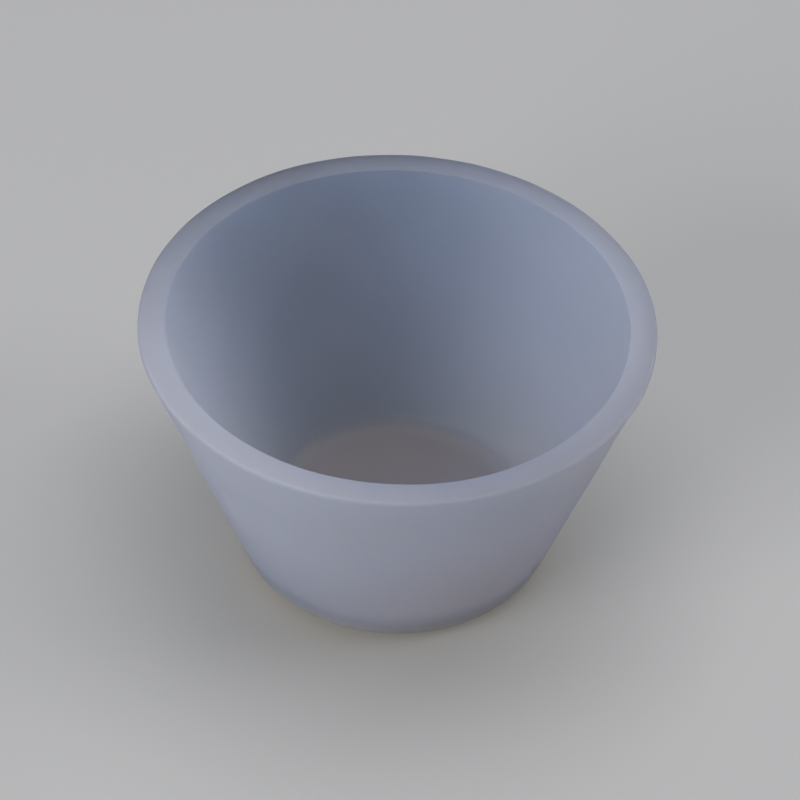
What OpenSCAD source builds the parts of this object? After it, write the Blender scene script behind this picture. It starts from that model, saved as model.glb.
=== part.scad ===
/* [Outer shape] */
// Outer diameter across the rim's lip
rim_d = 60; // [48:1:90]
// Height from the base to the top of the rim
cup_h = 34.4; // [20:0.2:60]
// Outer diameter of the base, measured where the wall's line meets it
base_d = 35.3; // [24:0.1:50]

/* [Wall and floor] */
// Width of the rim's flat top, from the lip's outer edge to the inner edge
rim_w = 3.2; // [1.6:0.1:6]
// Thickness of the wall where it meets the floor, measured level
foot_wall = 3.2; // [1.6:0.1:6]
// Thickness of the floor
floor_t = 2.8; // [1.2:0.1:6]

/* [Edges and corners] */
// Radius of the outer corner between the base and the wall
base_corner_r = 4; // [0.5:0.1:6]
// Radius of the inner corner between the floor and the wall
floor_corner_r = 2; // [0.5:0.1:6]
// Radius of the rim's outer edge
rim_outer_r = 0.4; // [0.1:0.05:0.6]
// Radius of the rim's inner edge
rim_inner_r = 0.2; // [0.1:0.05:0.6]

/* [Lip] */
// How far the lip left by the mould's joint line stands out past the wall
lip_out = 0.12; // [0.05:0.01:0.6]
// Height of the lip's upright face, with the rim's outer edge
lip_h = 0.6; // [0.6:0.1:3]

/* [Hidden] */
$fn = 180;

silicone = [0.76, 0.78, 0.84];

rim_r = rim_d / 2;
base_r = base_d / 2;

// The outer wall is straight from the base to the slope under the lip.
wall_top = [rim_r - lip_out, cup_h - lip_h - lip_out];
wall_lean = (wall_top[0] - base_r) / wall_top[1];

// The inner wall is straight from the rim's inner edge to the floor.
mouth_r = rim_r - rim_w;
floor_r = base_r + wall_lean * floor_t - foot_wall;

// How far the cavity is drawn past the rim, so that the mouth is open
past_rim = 1;
mouth_lean = (mouth_r - floor_r) / (cup_h - floor_t);

// How far a corner's circle reaches past the straight lines beside it, so that they cross cleanly
meet = 0.001;

// A vector's direction, with a length of 1
function unit(v) = v / norm(v);

// What an arc of radius r takes off the corner at b of the outline a, b, c
module corner_waste(a, b, c, r) {
    to_a = unit(a - b);
    to_c = unit(c - b);
    half_angle = acos(to_a * to_c) / 2;
    run = r / tan(half_angle);
    centre = b + unit(to_a + to_c) * r / sin(half_angle);
    difference() {
        polygon([2 * b - centre, b + to_a * run, centre, b + to_c * run]);
        translate(centre) circle(r = r + meet);
    }
}

// An outline with each of its corners rounded by the radius of the same place in radii
module rounded_outline(points, radii) {
    last = len(points) - 1;
    difference() {
        polygon(points);
        for (i = [0 : last])
            if (radii[i] > 0)
                corner_waste(points[i == 0 ? last : i - 1], points[i], points[i == last ? 0 : i + 1], radii[i]);
    }
}

// The cup's body as if it were filled to the rim, from the axis outwards
module outer_outline() {
    rounded_outline(
        [[0, 0], [base_r, 0], wall_top, [rim_r, cup_h - lip_h], [rim_r, cup_h], [0, cup_h]],
        [0, base_corner_r, 0, 0, rim_outer_r, 0]
    );
}

// The space inside, open past the rim
module cavity_outline() {
    rounded_outline(
        [[0, floor_t], [floor_r, floor_t], [mouth_r + mouth_lean * past_rim, cup_h + past_rim], [0, cup_h + past_rim]],
        [0, floor_corner_r, 0, 0]
    );
}

// What the rim's inner edge loses to its rounding
module rim_inner_waste() {
    corner_waste([rim_r, cup_h], [mouth_r, cup_h], [floor_r, floor_t], rim_inner_r);
}

// One moulded piece: wall, rim, lip and floor are the same silicone.
module cup() {
    color(silicone)
        rotate_extrude()
            difference() {
                outer_outline();
                cavity_outline();
                rim_inner_waste();
            }
}

cup();
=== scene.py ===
"""The looks of a resin mixing cup: one soft silicone moulding, modelled around its frame."""
import math

import bmesh
import bpy
from mathutils import Matrix, Vector


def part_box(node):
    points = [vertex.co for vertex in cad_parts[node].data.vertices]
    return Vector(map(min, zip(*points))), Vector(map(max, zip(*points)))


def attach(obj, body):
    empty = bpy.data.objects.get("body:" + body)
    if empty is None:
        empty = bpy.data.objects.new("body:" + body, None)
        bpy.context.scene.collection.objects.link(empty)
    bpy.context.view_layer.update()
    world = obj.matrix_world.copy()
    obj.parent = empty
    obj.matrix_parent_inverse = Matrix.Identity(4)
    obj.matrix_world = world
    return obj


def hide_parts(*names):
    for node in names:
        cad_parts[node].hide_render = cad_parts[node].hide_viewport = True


bl_info = {
    "name": "Resin mixing cup",
    "version": (1, 0, 0),
    "blender": (4, 5, 0),
    "location": "3D View > Sidebar > Mixing cup",
    "description": "Models a silicone mixing cup and the small studio that it stands in",
    "category": "Add Mesh",
}

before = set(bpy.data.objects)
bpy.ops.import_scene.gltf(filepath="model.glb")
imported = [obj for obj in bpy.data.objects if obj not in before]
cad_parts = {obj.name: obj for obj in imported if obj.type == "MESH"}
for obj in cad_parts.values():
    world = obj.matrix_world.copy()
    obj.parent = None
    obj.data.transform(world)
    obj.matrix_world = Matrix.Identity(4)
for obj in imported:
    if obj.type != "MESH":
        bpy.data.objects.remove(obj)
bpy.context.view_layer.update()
NODE_LOW, NODE_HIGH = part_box("cup")

MM = 0.001


class CupShape(bpy.types.PropertyGroup):
    """The cup's sizes. The height and the rim's diameter come from the frame."""

    rim_diameter: bpy.props.FloatProperty(
        name="Rim diameter",
        description="Outer diameter across the rim's lip",
        default=NODE_HIGH[0] - NODE_LOW[0], subtype="DISTANCE", unit="LENGTH")
    height: bpy.props.FloatProperty(
        name="Height",
        description="From the base to the top of the rim",
        default=NODE_HIGH[2] - NODE_LOW[2], subtype="DISTANCE", unit="LENGTH")
    base_diameter: bpy.props.FloatProperty(
        name="Base diameter",
        description="Outer diameter of the base before its corner is rounded",
        default=35.3 * MM, subtype="DISTANCE", unit="LENGTH")
    rim_width: bpy.props.FloatProperty(
        name="Rim width",
        description="Width of the rim's flat top",
        default=3.2 * MM, subtype="DISTANCE", unit="LENGTH")
    foot_wall: bpy.props.FloatProperty(
        name="Wall at the foot",
        description="Thickness of the wall where it meets the floor, measured level",
        default=3.2 * MM, subtype="DISTANCE", unit="LENGTH")
    floor_thickness: bpy.props.FloatProperty(
        name="Floor thickness",
        description="Thickness of the cup's floor",
        default=2.8 * MM, subtype="DISTANCE", unit="LENGTH")
    base_corner: bpy.props.FloatProperty(
        name="Base corner radius",
        description="Radius of the outer corner between base and wall",
        default=4.0 * MM, subtype="DISTANCE", unit="LENGTH")
    floor_corner: bpy.props.FloatProperty(
        name="Floor corner radius",
        description="Radius of the inner corner between floor and wall",
        default=2.0 * MM, subtype="DISTANCE", unit="LENGTH")
    rim_outer_edge: bpy.props.FloatProperty(
        name="Outer rim edge",
        description="Radius of the rim's outer edge",
        default=0.4 * MM, subtype="DISTANCE", unit="LENGTH")
    rim_inner_edge: bpy.props.FloatProperty(
        name="Inner rim edge",
        description="Radius of the rim's inner edge",
        default=0.2 * MM, subtype="DISTANCE", unit="LENGTH")
    lip_out: bpy.props.FloatProperty(
        name="Lip overhang",
        description="How far the mould's joint line stands out past the wall",
        default=0.12 * MM, subtype="DISTANCE", unit="LENGTH")
    lip_height: bpy.props.FloatProperty(
        name="Lip height",
        description="Height of the lip's upright face, with the rim's outer edge",
        default=0.6 * MM, subtype="DISTANCE", unit="LENGTH")
    squeeze: bpy.props.FloatProperty(
        name="Squeeze",
        description="Share by which the soft rim is drawn in along one diagonal",
        default=0.0136, subtype="FACTOR", min=0.0, max=0.05)
    wander: bpy.props.FloatProperty(
        name="Wander",
        description="How far the soft walls and the rim wander in and out",
        default=0.12 * MM, subtype="DISTANCE", unit="LENGTH")
    wander_size: bpy.props.FloatProperty(
        name="Wander size",
        description="About how far apart the wander's rises and hollows are",
        default=11.0 * MM, subtype="DISTANCE", unit="LENGTH")


class SiliconeLook(bpy.types.PropertyGroup):
    """The finish of the milky silicone."""

    colour: bpy.props.FloatVectorProperty(
        name="Milk colour",
        description="Colour of the scattering silicone",
        default=(0.80, 0.80, 0.80), size=3, subtype="COLOR", min=0.0, max=1.0)
    # Painted shade: the wall greys towards its base, darker low down
    low_painted_shade: bpy.props.FloatVectorProperty(
        name="Low colour",
        description="Slightly greyer colour of the silicone low in the wall",
        default=(0.64, 0.63, 0.61), size=3, subtype="COLOR", min=0.0, max=1.0)
    low_shade_fade: bpy.props.FloatProperty(
        name="Low fade",
        description="Height at which the greyer low colour has faded out",
        default=24.0 * MM, subtype="DISTANCE", unit="LENGTH")
    floor_tint: bpy.props.FloatVectorProperty(
        name="Floor tint",
        description="Colour of the thick silicone in the cup's floor",
        default=(0.70, 0.83, 1.0), size=3, subtype="COLOR", min=0.0, max=1.0)
    # Painted light: the base's rounded corner is warmer and paler, as if lit by light coming out through it
    corner_painted_glow: bpy.props.FloatVectorProperty(
        name="Corner colour",
        description="Warmer, paler colour of the rounded outer corner of the base",
        default=(1.0, 0.93, 0.76), size=3, subtype="COLOR", min=0.0, max=1.0)
    # Painted light: the rim's flat top is paler, for the light that comes up out of the wall
    rim_painted_light: bpy.props.FloatVectorProperty(
        name="Rim colour",
        description="Paler colour of the rim's flat top, where light comes up out of the wall",
        default=(1.0, 0.95, 0.97), size=3, subtype="COLOR", min=0.0, max=1.0)
    depth_red: bpy.props.FloatProperty(
        name="Depth of red light",
        description="How far red light spreads inside the silicone",
        default=120 * MM, subtype="DISTANCE", unit="LENGTH")
    depth_green: bpy.props.FloatProperty(
        name="Depth of green light",
        description="How far green light spreads inside the silicone",
        default=80 * MM, subtype="DISTANCE", unit="LENGTH")
    depth_blue: bpy.props.FloatProperty(
        name="Depth of blue light",
        description="How far blue light spreads inside the silicone",
        default=50 * MM, subtype="DISTANCE", unit="LENGTH")
    floor_share: bpy.props.FloatProperty(
        name="Depth in the floor",
        description="Share of the full depth in the cup's thick floor",
        default=0.23, subtype="FACTOR", min=0.01, max=1.0)
    corner_share: bpy.props.FloatProperty(
        name="Depth in the base corner",
        description="Share of the full depth in the rounded outer corner of the base",
        default=0.2, subtype="FACTOR", min=0.01, max=1.0)
    corner_fade: bpy.props.FloatProperty(
        name="Corner fade",
        description="Height at which the base corner has faded into the wall",
        default=6.0 * MM, subtype="DISTANCE", unit="LENGTH")
    rim_inner_share: bpy.props.FloatProperty(
        name="Depth at the rim's inside",
        description="Share of the full depth at the inner edge of the rim's flat top",
        default=0.45, subtype="FACTOR", min=0.01, max=1.0)
    rim_outer_share: bpy.props.FloatProperty(
        name="Depth at the rim's outside",
        description="Share of the full depth at the outer edge of the rim's flat top",
        default=0.16, subtype="FACTOR", min=0.01, max=1.0)
    gloss: bpy.props.FloatProperty(
        name="Gloss",
        description="Strength of the surface's mirror-like share of light",
        default=0.5, subtype="FACTOR", min=0.0, max=1.0)
    mask_fade: bpy.props.FloatProperty(
        name="Mask fade",
        description="Half the width of the change from the inside's look to the outside's",
        default=0.3 * MM, subtype="DISTANCE", unit="LENGTH")
    cloudiness: bpy.props.FloatProperty(
        name="Cloudiness",
        description="How much the depth differs from place to place",
        default=0.12, subtype="FACTOR", min=0.0, max=0.5)
    cloud_size: bpy.props.FloatProperty(
        name="Cloud size",
        description="About how wide the cloudy spots are",
        default=9.0 * MM, subtype="DISTANCE", unit="LENGTH")
    roughness: bpy.props.FloatProperty(
        name="Roughness",
        description="Roughness of the satin surface",
        default=0.48, subtype="FACTOR", min=0.0, max=1.0)
    satin_size: bpy.props.FloatProperty(
        name="Satin spots",
        description="About how wide the rougher and smoother spots are",
        default=5.0 * MM, subtype="DISTANCE", unit="LENGTH")
    grain_size: bpy.props.FloatProperty(
        name="Grain size",
        description="About how wide the bumps of the mould's fine grain are",
        default=0.5 * MM, subtype="DISTANCE", unit="LENGTH")
    grain_strength: bpy.props.FloatProperty(
        name="Grain strength",
        description="Strength of the mould's fine grain",
        default=0.15, subtype="FACTOR", min=0.0, max=1.0)


class StudioLook(bpy.types.PropertyGroup):
    """The floor, the lights and the camera."""

    floor_colour: bpy.props.FloatVectorProperty(
        name="Floor colour",
        description="Colour of the plain pale floor",
        default=(0.84, 0.80, 0.73), size=3, subtype="COLOR", min=0.0, max=1.0)
    bounce_colour: bpy.props.FloatVectorProperty(
        name="Bounce colour",
        description="Colour and strength of the weak glow that the floor sends up",
        default=(0.036, 0.034, 0.044), size=3, subtype="COLOR", min=0.0, max=1.0)
    ring_colour: bpy.props.FloatVectorProperty(
        name="Ring colour",
        description="Colour and strength of the floor's glow in a ring round the base",
        default=(0.070, 0.066, 0.062), size=3, subtype="COLOR", min=0.0, max=1.0)
    ring_reach: bpy.props.FloatProperty(
        name="Ring reach",
        description="How far from the base's edge the brighter ring has faded out",
        default=6.0 * MM, subtype="DISTANCE", unit="LENGTH")
    floor_size: bpy.props.FloatProperty(
        name="Floor size",
        description="Side of the square floor",
        default=16.0, subtype="DISTANCE", unit="LENGTH")
    floor_gap: bpy.props.FloatProperty(
        name="Gap under the base",
        description="Hair's breadth that keeps the base and the floor from coinciding",
        default=0.02 * MM, subtype="DISTANCE", unit="LENGTH")
    key_power: bpy.props.FloatProperty(
        name="Key light",
        description="Power of the tall soft light at the front left",
        default=4.1, unit="POWER")
    side_power: bpy.props.FloatProperty(
        name="Side light",
        description="Power of the tall soft light at the right",
        default=2.2, unit="POWER")
    cool_power: bpy.props.FloatProperty(
        name="Cool fills",
        description="Power of each of the cool lights at the left and the back right",
        default=1.35, unit="POWER")
    top_power: bpy.props.FloatProperty(
        name="Top light",
        description="Power of the warm light over the cup",
        default=1.2, unit="POWER")
    under_power: bpy.props.FloatProperty(
        name="Light from below",
        description="Power of the warm light that comes up into the cup's base",
        default=0.2, unit="POWER")
    floor_power: bpy.props.FloatProperty(
        name="Floor light",
        description="Power of the wide light overhead, which lights the floor alone",
        default=10.0, unit="POWER")
    room_strength: bpy.props.FloatProperty(
        name="Room light",
        description="Strength of the even light from all round",
        default=0.13)
    elevation: bpy.props.FloatProperty(
        name="Camera elevation",
        description="Angle of the camera above the horizon",
        default=math.radians(43.23), subtype="ANGLE", unit="ROTATION")
    roll: bpy.props.FloatProperty(
        name="Camera roll",
        description="Turn of the camera about its own line of sight",
        default=math.radians(0.516), subtype="ANGLE", unit="ROTATION")
    distance: bpy.props.FloatProperty(
        name="Camera distance",
        description="From the camera to the point on the cup's axis that it turns about",
        default=643.2 * MM, subtype="DISTANCE", unit="LENGTH")
    aim_side: bpy.props.FloatProperty(
        name="Aim to the side",
        description="How far right of the cup's axis the camera is aimed",
        default=0.364 * MM, subtype="DISTANCE", unit="LENGTH")
    aim_height: bpy.props.FloatProperty(
        name="Aim height",
        description="Height of the point that the camera turns about",
        default=22.17 * MM, subtype="DISTANCE", unit="LENGTH")
    lens: bpy.props.FloatProperty(
        name="Lens",
        description="Focal length of the camera, in millimetres",
        default=247.5)


# Selecting and shaping

# How far a point may lie from a ring and still count as on it
RING_SLACK = 0.02 * MM

# The bevel profile that is a true arc
ROUND_PROFILE = 0.5


def only(piece):
    """Deselects everything, then selects this piece and makes it active."""
    bpy.ops.object.select_all(action="DESELECT")
    piece.select_set(True)
    bpy.context.view_layer.objects.active = piece


def pick(kind, test):
    """Selects only the edit mode faces or edges that pass the test, and gives how far out they reach."""
    piece = bpy.context.edit_object
    bpy.ops.mesh.select_all(action="DESELECT")
    bpy.ops.mesh.select_mode(type={"faces": "FACE", "edges": "EDGE"}[kind])
    shape = bmesh.from_edit_mesh(piece.data)
    found = [part for part in getattr(shape, kind) if test(part)]
    if not found:
        raise RuntimeError("nothing to select on " + piece.name)
    for part in found:
        part.select_set(True)
    shape.select_flush_mode()
    bmesh.update_edit_mesh(piece.data)
    return max(radius_of(v.co) for part in found for v in part.verts)


def radius_of(point):
    """How far a point is from the cup's axis."""
    return math.hypot(point.x, point.y)


def at_ring(radius, height):
    """A test for the level edges that lie on one ring."""
    def near(vertex):
        return abs(vertex.co.z - height) < RING_SLACK and abs(radius_of(vertex.co) - radius) < RING_SLACK

    return lambda edge: all(near(vertex) for vertex in edge.verts)


def ring(last, radius, height):
    """Extrudes the selected disc from the last (radius, height) to a new one, and gives that back."""
    rise = height - last[1]
    bpy.ops.mesh.extrude_region_move(TRANSFORM_OT_translate={"value": (0, 0, rise)})
    share = radius / last[0]
    bpy.ops.transform.resize(value=(share, share, 1), center_override=(0, 0, 0))
    return radius, height


def round_ring(radius, height, run, segments):
    """Rounds the ring of edges there. run is how far the rounding reaches along the faces beside it."""
    pick("edges", at_ring(radius, height))
    bpy.ops.mesh.bevel(offset_type="OFFSET", offset=run, segments=segments, profile=ROUND_PROFILE,
                       affect="EDGES", clamp_overlap=False)


def run_of(radius, corner):
    """How far an arc of that radius reaches along the faces of a corner of that many radians."""
    return radius / math.tan(corner / 2)


# The cup

CUP_NAME = "mixing_cup"

# How finely the cup is divided: round its axis, up its walls, across its discs and along its rounded edges
AROUND = 256
WALL_LOOPS = 22
DISC_RINGS = 5
BASE_STEPS = 12
FLOOR_STEPS = 10
OUTER_EDGE_STEPS = 7
INNER_EDGE_STEPS = 5

# The highest weight of the normals, at which the biggest faces decide
BIG_FACES_FIRST = 100

# A face counts as level when its normal points at least this much up or down.
LEVEL = 0.9

# How high above the base the walls start to wander in full, in radii of the base's corner
WANDER_RISE = 3

# The attributes that carry the rim's look: its painted light and its shorter spread
RIM_LOOK = "rim_look"
RIM_ACROSS = "rim_across"

# The share of the outer edge's radius over which the rim's look fades, and the share of the inner edge's
# radius that a point may lie below the rim's top and still have that look
OUTER_FADE = 0.3
INNER_SLACK = 0.01


def lathe_cup(shape):
    """A cone with its top drawn out into the lip, turned in over the rim and let down to the floor."""
    rim = shape.rim_diameter / 2
    base = shape.base_diameter / 2
    wall_top = (rim - shape.lip_out, shape.height - shape.lip_height - shape.lip_out)
    lean = (wall_top[0] - base) / wall_top[1]
    mouth = rim - shape.rim_width
    floor = base + lean * shape.floor_thickness - shape.foot_wall

    bpy.ops.object.select_all(action="DESELECT")
    bpy.ops.mesh.primitive_cone_add(vertices=AROUND, radius1=base, radius2=wall_top[0], depth=wall_top[1],
                                    end_fill_type="NGON", location=(0, 0, wall_top[1] / 2))
    cup = bpy.context.object
    cup.name = CUP_NAME
    cup.data.name = CUP_NAME
    only(cup)
    bpy.ops.object.transform_apply(location=True, rotation=True, scale=True)

    bpy.ops.object.mode_set(mode="EDIT")
    pick("faces", lambda face: face.normal.z > LEVEL)
    last = ring(wall_top, rim, shape.height - shape.lip_height)
    last = ring(last, rim, shape.height)
    last = ring(last, mouth, shape.height)
    ring(last, floor, shape.floor_thickness)

    outer_lean = math.atan(lean)
    inner_lean = math.atan((mouth - floor) / (shape.height - shape.floor_thickness))
    square = math.pi / 2
    round_ring(base, 0, run_of(shape.base_corner, square + outer_lean), BASE_STEPS)
    round_ring(floor, shape.floor_thickness, run_of(shape.floor_corner, square + inner_lean), FLOOR_STEPS)
    round_ring(rim, shape.height, run_of(shape.rim_outer_edge, square), OUTER_EDGE_STEPS)
    round_ring(mouth, shape.height, run_of(shape.rim_inner_edge, square + inner_lean), INNER_EDGE_STEPS)
    bpy.ops.object.mode_set(mode="OBJECT")
    return cup


def grade_cup(cup, shape):
    """Gives the long walls level loops and the discs rings, so that they can take soft unevenness."""
    only(cup)
    bpy.ops.object.mode_set(mode="EDIT")
    long_side = shape.height / 2
    pick("edges", lambda edge: abs(edge.verts[0].co.z - edge.verts[1].co.z) > long_side)
    bpy.ops.mesh.subdivide(number_cuts=WALL_LOOPS)

    # The underside and the cup's floor are the only level faces with more than four corners.
    for facing, height in ((-1, 0.0), (1, shape.floor_thickness)):
        outer = pick("faces", lambda face: len(face.verts) > 4 and face.normal.z * facing > LEVEL)
        last = (outer, height)
        for step in range(1, DISC_RINGS):
            last = ring(last, outer * (1 - step / DISC_RINGS), height)
        bpy.ops.mesh.poke()
    bpy.ops.object.mode_set(mode="OBJECT")


def squeeze_cup(cup, shape):
    """Draws the soft rim in along one diagonal and out along the other, and leaves the base round."""
    bpy.ops.object.select_all(action="DESELECT")
    bpy.ops.object.add(type="LATTICE", location=(0, 0, shape.height / 2))
    cage = bpy.context.object
    cage.scale = (shape.rim_diameter, shape.rim_diameter, shape.height)
    for direction in "uvw":
        setattr(cage.data, "points_" + direction, 2)
        setattr(cage.data, "interpolation_type_" + direction, "KEY_LINEAR")
    for point in cage.data.points:
        if point.co.z > 0:
            side = 1 if point.co.x * point.co.y > 0 else -1
            drawn = 1 - side * shape.squeeze
            point.co_deform = Vector((point.co.x * drawn, point.co.y * drawn, point.co.z))
    only(cup)
    bend = cup.modifiers.new("squeeze", "LATTICE")
    bend.object = cage
    bpy.context.view_layer.update()
    bpy.ops.object.modifier_apply(modifier=bend.name)
    bpy.data.objects.remove(cage)


def let_wander(cup, shape):
    """Leaves the walls and the rim a little uneven, as soft silicone is. The underside stays flat."""
    soft = cup.vertex_groups.new(name="soft")
    full_height = WANDER_RISE * shape.base_corner
    for vertex in cup.data.vertices:
        soft.add([vertex.index], min(1.0, vertex.co.z / full_height), "REPLACE")
    texture = bpy.data.textures.new("wander", "CLOUDS")
    texture.noise_scale = shape.wander_size
    texture.noise_depth = 1
    only(cup)
    uneven = cup.modifiers.new("wander", "DISPLACE")
    uneven.texture = texture
    uneven.texture_coords = "LOCAL"
    uneven.vertex_group = soft.name
    # The texture moves a point by up to half of this strength, outwards or inwards.
    uneven.strength = 2 * shape.wander
    bpy.ops.object.modifier_apply(modifier=uneven.name)
    cup.vertex_groups.clear()
    bpy.data.textures.remove(texture)


def mark_rim(cup, shape):
    """Writes how much each point takes the rim's look, its painted light and shorter spread, and how far
    across the rim it is.

    This comes before the soft shaping, because the rim is still at its exact radius and height.
    """
    rim = shape.rim_diameter / 2
    mouth = rim - shape.rim_width
    for name in (RIM_LOOK, RIM_ACROSS):
        cup.data.attributes.new(name, "FLOAT", "POINT")
    look = cup.data.attributes[RIM_LOOK].data
    across = cup.data.attributes[RIM_ACROSS].data
    for vertex in cup.data.vertices:
        radius = radius_of(vertex.co)
        share = (radius - mouth) / shape.rim_width

        # The look fades down the rounded outer edge, and stops sharply at the inner edge.
        in_outer_half = share > 0.5
        edge = shape.rim_outer_edge if in_outer_half else INNER_SLACK * shape.rim_inner_edge
        on_top = vertex.co.z > shape.height - edge
        faded = (rim - radius) / (OUTER_FADE * shape.rim_outer_edge)
        look[vertex.index].value = min(1.0, faded) if on_top else 0.0
        across[vertex.index].value = min(1.0, max(0.0, share))


def even_shading(piece):
    """Lets the big faces set the normals, so that flat parts look flat right up to their rounded edges."""
    only(piece)
    bpy.ops.object.shade_smooth()
    even = piece.modifiers.new("even", "WEIGHTED_NORMAL")
    even.mode = "FACE_AREA"
    even.weight = BIG_FACES_FIRST
    bpy.ops.object.modifier_apply(modifier=even.name)


class MESH_OT_mixing_cup(bpy.types.Operator):
    """Model the cup as one moulding and give it its silicone"""

    bl_idname = "mesh.mixing_cup"
    bl_label = "Mixing cup"
    bl_options = {"REGISTER", "UNDO"}

    def execute(self, context):
        shape = context.scene.cup_shape
        cup = lathe_cup(shape)
        grade_cup(cup, shape)
        mark_rim(cup, shape)
        squeeze_cup(cup, shape)
        let_wander(cup, shape)
        even_shading(cup)
        cup.data.materials.append(milky_silicone(context.scene.silicone_look, shape))
        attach(cup, "root")
        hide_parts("cup")
        return {"FINISHED"}


# Materials

BLACK = (0.0, 0.0, 0.0)
SILICONE_IOR = 1.41
FLOOR_ROUGHNESS = 0.8

# How fine the noise's detail is, and between which values nearly all of it lies
NOISE_DETAIL = 3.0
NOISE_LOW = 0.3
NOISE_HIGH = 0.7

# How much the satin spots differ in roughness, and how high the grain's bumps are for their width
SATIN_RANGE = 0.05
GRAIN_HEIGHT = 0.1

# How high above the cup's floor its look has faded out, in radii of the floor's corner
FLOOR_FADE = 1.5

# How high above the base the looks of its corner (painted light and shorter spread) and the painted shade of
# the low wall begin to fade, in radii of that corner
CORNER_START = 0.3
LOW_SHADE_START = 1.5


def new_material(name):
    """A node material with only an output and a Principled shader: (material, nodes, links, shader)."""
    material = bpy.data.materials.new(name)
    material.use_nodes = True
    nodes = material.node_tree.nodes
    nodes.clear()
    output = nodes.new("ShaderNodeOutputMaterial")
    shader = nodes.new("ShaderNodeBsdfPrincipled")
    links = material.node_tree.links
    links.new(shader.outputs["BSDF"], output.inputs["Surface"])
    return material, nodes, links, shader


def socket(sockets, identifier):
    """The socket with that identifier, because a Mix node has several of each name."""
    return next(found for found in sockets if found.identifier == identifier)


def is_colour(value):
    """Whether a value is a colour or a socket that gives one."""
    return isinstance(value, tuple) or getattr(value, "type", "") == "RGBA"


def blend(nodes, links, factor, first, second):
    """Goes from one value to another by a factor. Both are numbers or both are colours, or such sockets."""
    mix = nodes.new("ShaderNodeMix")
    coloured = is_colour(first) or is_colour(second)
    mix.data_type = "RGBA" if coloured else "FLOAT"
    ending = "Color" if coloured else "Float"
    links.new(factor, socket(mix.inputs, "Factor_Float"))
    for name, value in (("A_", first), ("B_", second)):
        entry = socket(mix.inputs, name + ending)
        if isinstance(value, bpy.types.NodeSocket):
            links.new(value, entry)
        elif coloured:
            entry.default_value = (*value, 1)
        else:
            entry.default_value = value
    return socket(mix.outputs, "Result_" + ending)


def step_between(nodes, links, value, low, high, at_low=0.0, at_high=1.0):
    """A smooth step: gives at_low where the value is low or less, and at_high where it is high or more."""
    node = nodes.new("ShaderNodeMapRange")
    node.interpolation_type = "SMOOTHSTEP"
    node.inputs["From Min"].default_value = low
    node.inputs["From Max"].default_value = high
    node.inputs["To Min"].default_value = at_low
    node.inputs["To Max"].default_value = at_high
    links.new(value, node.inputs["Value"])
    return node.outputs["Result"]


def clouds(nodes, links, place, grain, at_low, at_high):
    """Soft noise with spots about that far across, brought between two values."""
    noise = nodes.new("ShaderNodeTexNoise")
    noise.inputs["Scale"].default_value = 1 / grain
    noise.inputs["Detail"].default_value = NOISE_DETAIL
    links.new(place, noise.inputs["Vector"])
    return step_between(nodes, links, noise.outputs["Fac"], NOISE_LOW, NOISE_HIGH, at_low, at_high)


def calculate(nodes, links, operation, first, second, third=0.0):
    """One sum on numbers or sockets, as a socket."""
    node = nodes.new("ShaderNodeMath")
    node.operation = operation
    for entry, value in zip(node.inputs, (first, second, third)):
        if isinstance(value, bpy.types.NodeSocket):
            links.new(value, entry)
        else:
            entry.default_value = value
    return node.outputs["Value"]


def marked(nodes, name):
    """The number that the mesh carries in that attribute."""
    node = nodes.new("ShaderNodeAttribute")
    node.attribute_name = name
    return node.outputs["Fac"]


def distance_from_axis(nodes, links, place):
    """How far a place is from the cup's axis."""
    level = nodes.new("ShaderNodeVectorMath")
    level.operation = "MULTIPLY"
    level.inputs[1].default_value = (1, 1, 0)
    links.new(place, level.inputs[0])
    length = nodes.new("ShaderNodeVectorMath")
    length.operation = "LENGTH"
    links.new(level.outputs["Vector"], length.inputs[0])
    return length.outputs["Value"]


def past_wall_middle(nodes, links, place, height, look, shape):
    """0 inside the middle of the leaning wall and 1 outside it, so that the two sides can look different."""
    lean = (shape.rim_diameter - shape.base_diameter) / 2 / shape.height
    from_axis = distance_from_axis(nodes, links, place)
    upright = calculate(nodes, links, "MULTIPLY_ADD", height, -lean, from_axis)
    middle = (shape.base_diameter - shape.foot_wall) / 2
    return step_between(nodes, links, upright, middle - look.mask_fade, middle + look.mask_fade)


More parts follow.
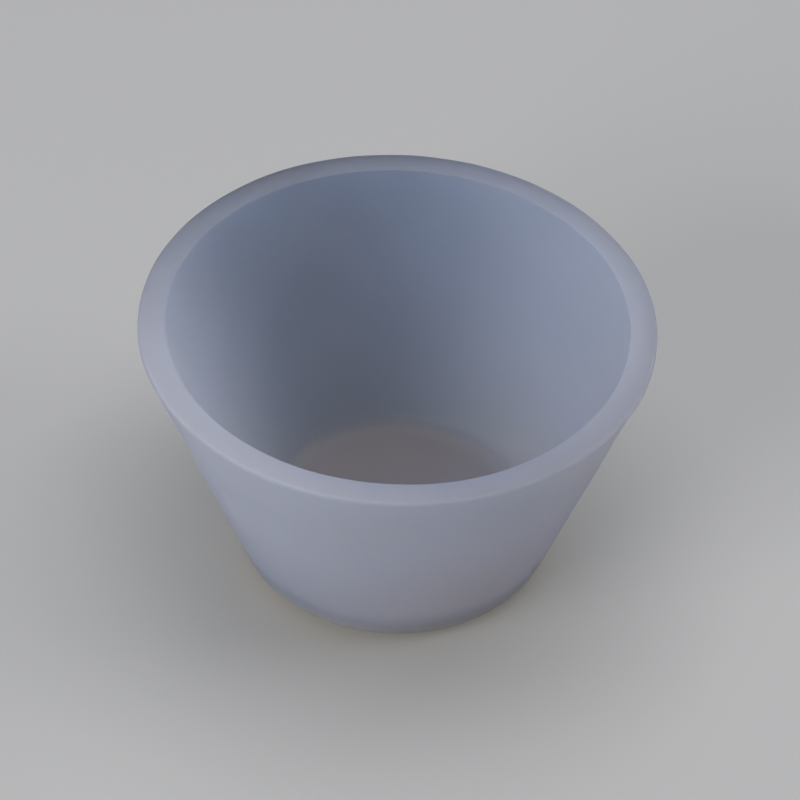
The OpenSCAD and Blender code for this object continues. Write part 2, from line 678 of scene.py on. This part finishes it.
def milky_silicone(look, shape):
    """Silicone that light enters and spreads through, with a satin moulded surface."""
    material, nodes, links, shader = new_material("milky_silicone")
    shader.subsurface_method = "RANDOM_WALK"
    shader.inputs["Subsurface Weight"].default_value = 1.0
    shader.inputs["IOR"].default_value = SILICONE_IOR
    shader.inputs["Specular IOR Level"].default_value = look.gloss

    place = nodes.new("ShaderNodeTexCoord").outputs["Object"]
    split = nodes.new("ShaderNodeSeparateXYZ")
    links.new(place, split.inputs["Vector"])
    height = split.outputs["Z"]

    # Where a point is. Each of these goes softly from 0 to 1.
    outside = past_wall_middle(nodes, links, place, height, look, shape)
    floor_top = shape.floor_thickness
    corner = shape.base_corner
    past_floor = step_between(nodes, links, height, floor_top, floor_top + FLOOR_FADE * shape.floor_corner)
    past_corner = step_between(nodes, links, height, CORNER_START * corner, look.corner_fade)
    past_low_shade = step_between(nodes, links, height, LOW_SHADE_START * corner, look.low_shade_fade)
    on_rim = marked(nodes, RIM_LOOK)
    across_rim = marked(nodes, RIM_ACROSS)

    # Light spreads less far in the floor, in the base corner and across the rim's flat top.
    inside_share = blend(nodes, links, past_floor, look.floor_share, 1.0)
    outside_share = blend(nodes, links, past_corner, look.corner_share, 1.0)
    body_share = blend(nodes, links, outside, inside_share, outside_share)
    rim_share = blend(nodes, links, across_rim, look.rim_inner_share, look.rim_outer_share)
    share = blend(nodes, links, on_rim, body_share, rim_share)
    cloudy = clouds(nodes, links, place, look.cloud_size, 1 - look.cloudiness, 1 + look.cloudiness)
    cloudy_share = calculate(nodes, links, "MULTIPLY", share, cloudy)
    depth = calculate(nodes, links, "MULTIPLY", cloudy_share, look.depth_red)
    links.new(depth, shader.inputs["Subsurface Scale"])

    # Red light spreads furthest, and where light spreads less far its colours spread more alike.
    wall_spread = (1.0, look.depth_green / look.depth_red, look.depth_blue / look.depth_red)
    spread = blend(nodes, links, share, (1.0, 1.0, 1.0), wall_spread)
    links.new(spread, shader.inputs["Subsurface Radius"])

    # Painted shade: the wall's colour greys towards the bottom.
    wall_colour = blend(nodes, links, past_low_shade, tuple(look.low_painted_shade), tuple(look.colour))
    inside_colour = blend(nodes, links, past_floor, tuple(look.floor_tint), wall_colour)
    # Painted light: the base's corner turns warmer and paler.
    outside_colour = blend(nodes, links, past_corner, tuple(look.corner_painted_glow), wall_colour)
    body_colour = blend(nodes, links, outside, inside_colour, outside_colour)
    # Painted light: the rim's flat top turns paler.
    colour = blend(nodes, links, on_rim, body_colour, tuple(look.rim_painted_light))
    links.new(colour, shader.inputs["Base Color"])

    smooth = look.roughness - SATIN_RANGE
    rough = look.roughness + SATIN_RANGE
    links.new(clouds(nodes, links, place, look.satin_size, smooth, rough), shader.inputs["Roughness"])
    bump = nodes.new("ShaderNodeBump")
    bump.inputs["Strength"].default_value = look.grain_strength
    bump.inputs["Distance"].default_value = GRAIN_HEIGHT * look.grain_size
    links.new(clouds(nodes, links, place, look.grain_size, 0.0, 1.0), bump.inputs["Height"])
    links.new(bump.outputs["Normal"], shader.inputs["Normal"])
    return material


def pale_floor(studio, shape):
    """The plain matt floor. It is pale to the camera, and sends only a weak glow up to the cup."""
    material, nodes, links, shader = new_material("pale_floor")
    shader.inputs["Roughness"].default_value = FLOOR_ROUGHNESS
    shader.inputs["Emission Strength"].default_value = 1.0

    # The floor is clear from below, so that the underside of the cup can be seen.
    from_below = nodes.new("ShaderNodeNewGeometry").outputs["Backfacing"]
    links.new(calculate(nodes, links, "SUBTRACT", 1.0, from_below), shader.inputs["Alpha"])

    place = nodes.new("ShaderNodeTexCoord").outputs["Object"]
    from_axis = distance_from_axis(nodes, links, place)
    edge = shape.base_diameter / 2
    past_base = step_between(nodes, links, from_axis, edge - shape.base_corner, edge)
    past_ring = step_between(nodes, links, from_axis, edge, edge + studio.ring_reach)
    in_ring = calculate(nodes, links, "SUBTRACT", past_base, past_ring)
    sent_up = blend(nodes, links, in_ring, tuple(studio.bounce_colour), tuple(studio.ring_colour))

    seen = nodes.new("ShaderNodeLightPath").outputs["Is Camera Ray"]
    links.new(blend(nodes, links, seen, BLACK, tuple(studio.floor_colour)), shader.inputs["Base Color"])
    links.new(blend(nodes, links, seen, sent_up, BLACK), shader.inputs["Emission Color"])
    return material


# The studio

# The colours of the lights and of the room
WHITE = (0.98, 1.0, 1.08)
COOL = (0.36, 0.54, 1.0)
WARM = (1.0, 0.57, 0.38)
PALE_WARM = (1.0, 0.85, 0.8)
ROOM = (0.65, 0.8, 1.0)

# The lights' widths and heights
KEY_SIZE = (0.6, 0.8)
SIDE_SIZE = (0.5, 0.9)
FILL_SIZE = (0.5, 0.5)
WIDE_FILL_SIZE = (0.6, 0.6)
FLOOR_LIGHT_SIZE = (1.6, 1.6)

# How far the cup's lights are from the base's middle, and the point in the cup that they are turned to
LIGHT_DISTANCE = 1.0
LIGHT_AIM = (0, 0, 20 * MM)

# Where the floor's own light hangs, and the middle of the base, which it is turned to
FLOOR_LIGHT_PLACE = (0.1, 0.2, 1.6)
BASE_MIDDLE = (0, 0, 0)

# How bright the room is to the camera
ROOM_SEEN = 0.5

# The width of the camera's sensor in millimetres, and the nearest and furthest that it sees in metres
SENSOR_WIDTH = 36.0
NEAREST = 0.01
FURTHEST = 50.0


def soft_light(name, place, size, power, colour, aim=LIGHT_AIM):
    """A soft rectangular light at a place, turned to the point that it lights."""
    bpy.ops.object.select_all(action="DESELECT")
    bpy.ops.object.light_add(type="AREA", location=place)
    light = bpy.context.object
    light.name = name
    light.data.shape = "RECTANGLE"
    light.data.size, light.data.size_y = size
    light.data.energy = power
    light.data.color = colour
    light.rotation_mode = "QUATERNION"
    light.rotation_quaternion = (Vector(aim) - Vector(place)).to_track_quat("-Z", "Y")
    light.visible_camera = False
    return light


def place_round(azimuth, elevation):
    """A light's place by its azimuth (0 in front, 90 at the right) and its elevation, both in degrees."""
    turn = math.radians(azimuth)
    lift = math.radians(elevation)
    level = math.cos(lift)
    return Vector((math.sin(turn) * level, -math.cos(turn) * level, math.sin(lift))) * LIGHT_DISTANCE


def lay_floor(studio, shape):
    """The floor that the cup stands on."""
    bpy.ops.object.select_all(action="DESELECT")
    bpy.ops.mesh.primitive_plane_add(size=studio.floor_size, location=(0, 0, -studio.floor_gap))
    floor = bpy.context.object
    floor.name = "floor"
    floor.data.materials.append(pale_floor(studio, shape))
    return floor


def shine_only_on(lights, piece):
    """Lets these lights reach that one piece alone, and gives the collection that holds it."""
    lit = bpy.data.collections.new("lit_" + piece.name)
    lit.objects.link(piece)
    for light in lights:
        light.light_linking.receiver_collection = lit
    return lit


def hang_lights(studio, floor, cup):
    """Two lights for everything, four fills for the cup alone and a light for the floor alone."""
    soft_light("key_light", place_round(312, 18), KEY_SIZE, studio.key_power, WHITE)
    soft_light("side_light", place_round(90, 22), SIDE_SIZE, studio.side_power, WHITE)
    under_fill = soft_light("under_fill", place_round(0, -80), WIDE_FILL_SIZE, studio.under_power, PALE_WARM)
    left_fill = soft_light("left_fill", place_round(270, 38), FILL_SIZE, studio.cool_power, COOL)
    back_fill = soft_light("back_fill", place_round(135, 38), FILL_SIZE, studio.cool_power, COOL)
    top_fill = soft_light("top_fill", place_round(0, 85), WIDE_FILL_SIZE, studio.top_power, WARM)
    floor_light = soft_light("floor_light", FLOOR_LIGHT_PLACE, FLOOR_LIGHT_SIZE, studio.floor_power, WHITE,
                             aim=BASE_MIDDLE)

    # Nothing but the cup blocks the light from below, so it comes up through the floor.
    lit_cup = shine_only_on([under_fill, left_fill, back_fill, top_fill], cup)
    under_fill.light_linking.blocker_collection = lit_cup
    shine_only_on([floor_light], floor)


def fill_room(context, studio):
    """A pale room behind everything, which sends only a little light to the cup."""
    world = bpy.data.worlds.new("room")
    world.use_nodes = True
    nodes = world.node_tree.nodes
    links = world.node_tree.links
    seen = nodes.new("ShaderNodeLightPath")
    strength = nodes.new("ShaderNodeMapRange")
    strength.inputs["To Min"].default_value = studio.room_strength
    strength.inputs["To Max"].default_value = ROOM_SEEN
    links.new(seen.outputs["Is Camera Ray"], strength.inputs["Value"])
    links.new(strength.outputs["Result"], nodes["Background"].inputs["Strength"])
    nodes["Background"].inputs["Color"].default_value = (*ROOM, 1)
    context.scene.world = world
    context.scene.view_settings.view_transform = "Standard"


def set_camera(context, studio):
    """The camera in front of the cup, looking down into it."""
    lift = studio.elevation
    back = Vector((0, -math.cos(lift), math.sin(lift)))
    place = Vector((0, 0, studio.aim_height)) + studio.distance * back
    aim = Vector((studio.aim_side, 0, studio.aim_height))
    bpy.ops.object.select_all(action="DESELECT")
    bpy.ops.object.camera_add(location=place)
    camera = bpy.context.object
    camera.name = "camera"
    turn = (aim - place).to_track_quat("-Z", "Y").to_matrix().to_4x4()
    camera.matrix_world = Matrix.Translation(place) @ turn @ Matrix.Rotation(studio.roll, 4, "Z")
    camera.data.lens = studio.lens
    camera.data.sensor_width = SENSOR_WIDTH
    camera.data.clip_start = NEAREST
    camera.data.clip_end = FURTHEST
    context.scene.camera = camera


class SCENE_OT_cup_studio(bpy.types.Operator):
    """Lay the floor, hang the lights and set the camera"""

    bl_idname = "scene.cup_studio"
    bl_label = "Studio"
    bl_options = {"REGISTER", "UNDO"}

    def execute(self, context):
        studio = context.scene.studio_look
        floor = lay_floor(studio, context.scene.cup_shape)
        hang_lights(studio, floor, bpy.data.objects[CUP_NAME])
        fill_room(context, studio)
        set_camera(context, studio)
        return {"FINISHED"}


class VIEW3D_PT_mixing_cup(bpy.types.Panel):
    """Sizes, looks and the buttons that make the pieces"""

    bl_label = "Mixing cup"
    bl_space_type = "VIEW_3D"
    bl_region_type = "UI"
    bl_category = "Mixing cup"

    def draw(self, context):
        layout = self.layout
        for title, group, button in (
            ("Shape", context.scene.cup_shape, None),
            ("Silicone", context.scene.silicone_look, MESH_OT_mixing_cup.bl_idname),
            ("Studio", context.scene.studio_look, SCENE_OT_cup_studio.bl_idname),
        ):
            box = layout.box()
            box.label(text=title)
            for name in group.bl_rna.properties.keys():
                if name not in ("rna_type", "name"):
                    box.prop(group, name)
            if button:
                box.operator(button)


CLASSES = (CupShape, SiliconeLook, StudioLook, MESH_OT_mixing_cup, SCENE_OT_cup_studio, VIEW3D_PT_mixing_cup)


def register():
    """Registers the classes and gives the scene their values."""
    for kind in CLASSES:
        bpy.utils.register_class(kind)
    bpy.types.Scene.cup_shape = bpy.props.PointerProperty(type=CupShape)
    bpy.types.Scene.silicone_look = bpy.props.PointerProperty(type=SiliconeLook)
    bpy.types.Scene.studio_look = bpy.props.PointerProperty(type=StudioLook)


def unregister():
    """Takes back what register did."""
    del bpy.types.Scene.studio_look
    del bpy.types.Scene.silicone_look
    del bpy.types.Scene.cup_shape
    for kind in reversed(CLASSES):
        bpy.utils.unregister_class(kind)


def main():
    """Makes everything in order."""
    register()
    bpy.ops.mesh.mixing_cup()
    bpy.ops.scene.cup_studio()


if __name__ == "__main__":
    main()
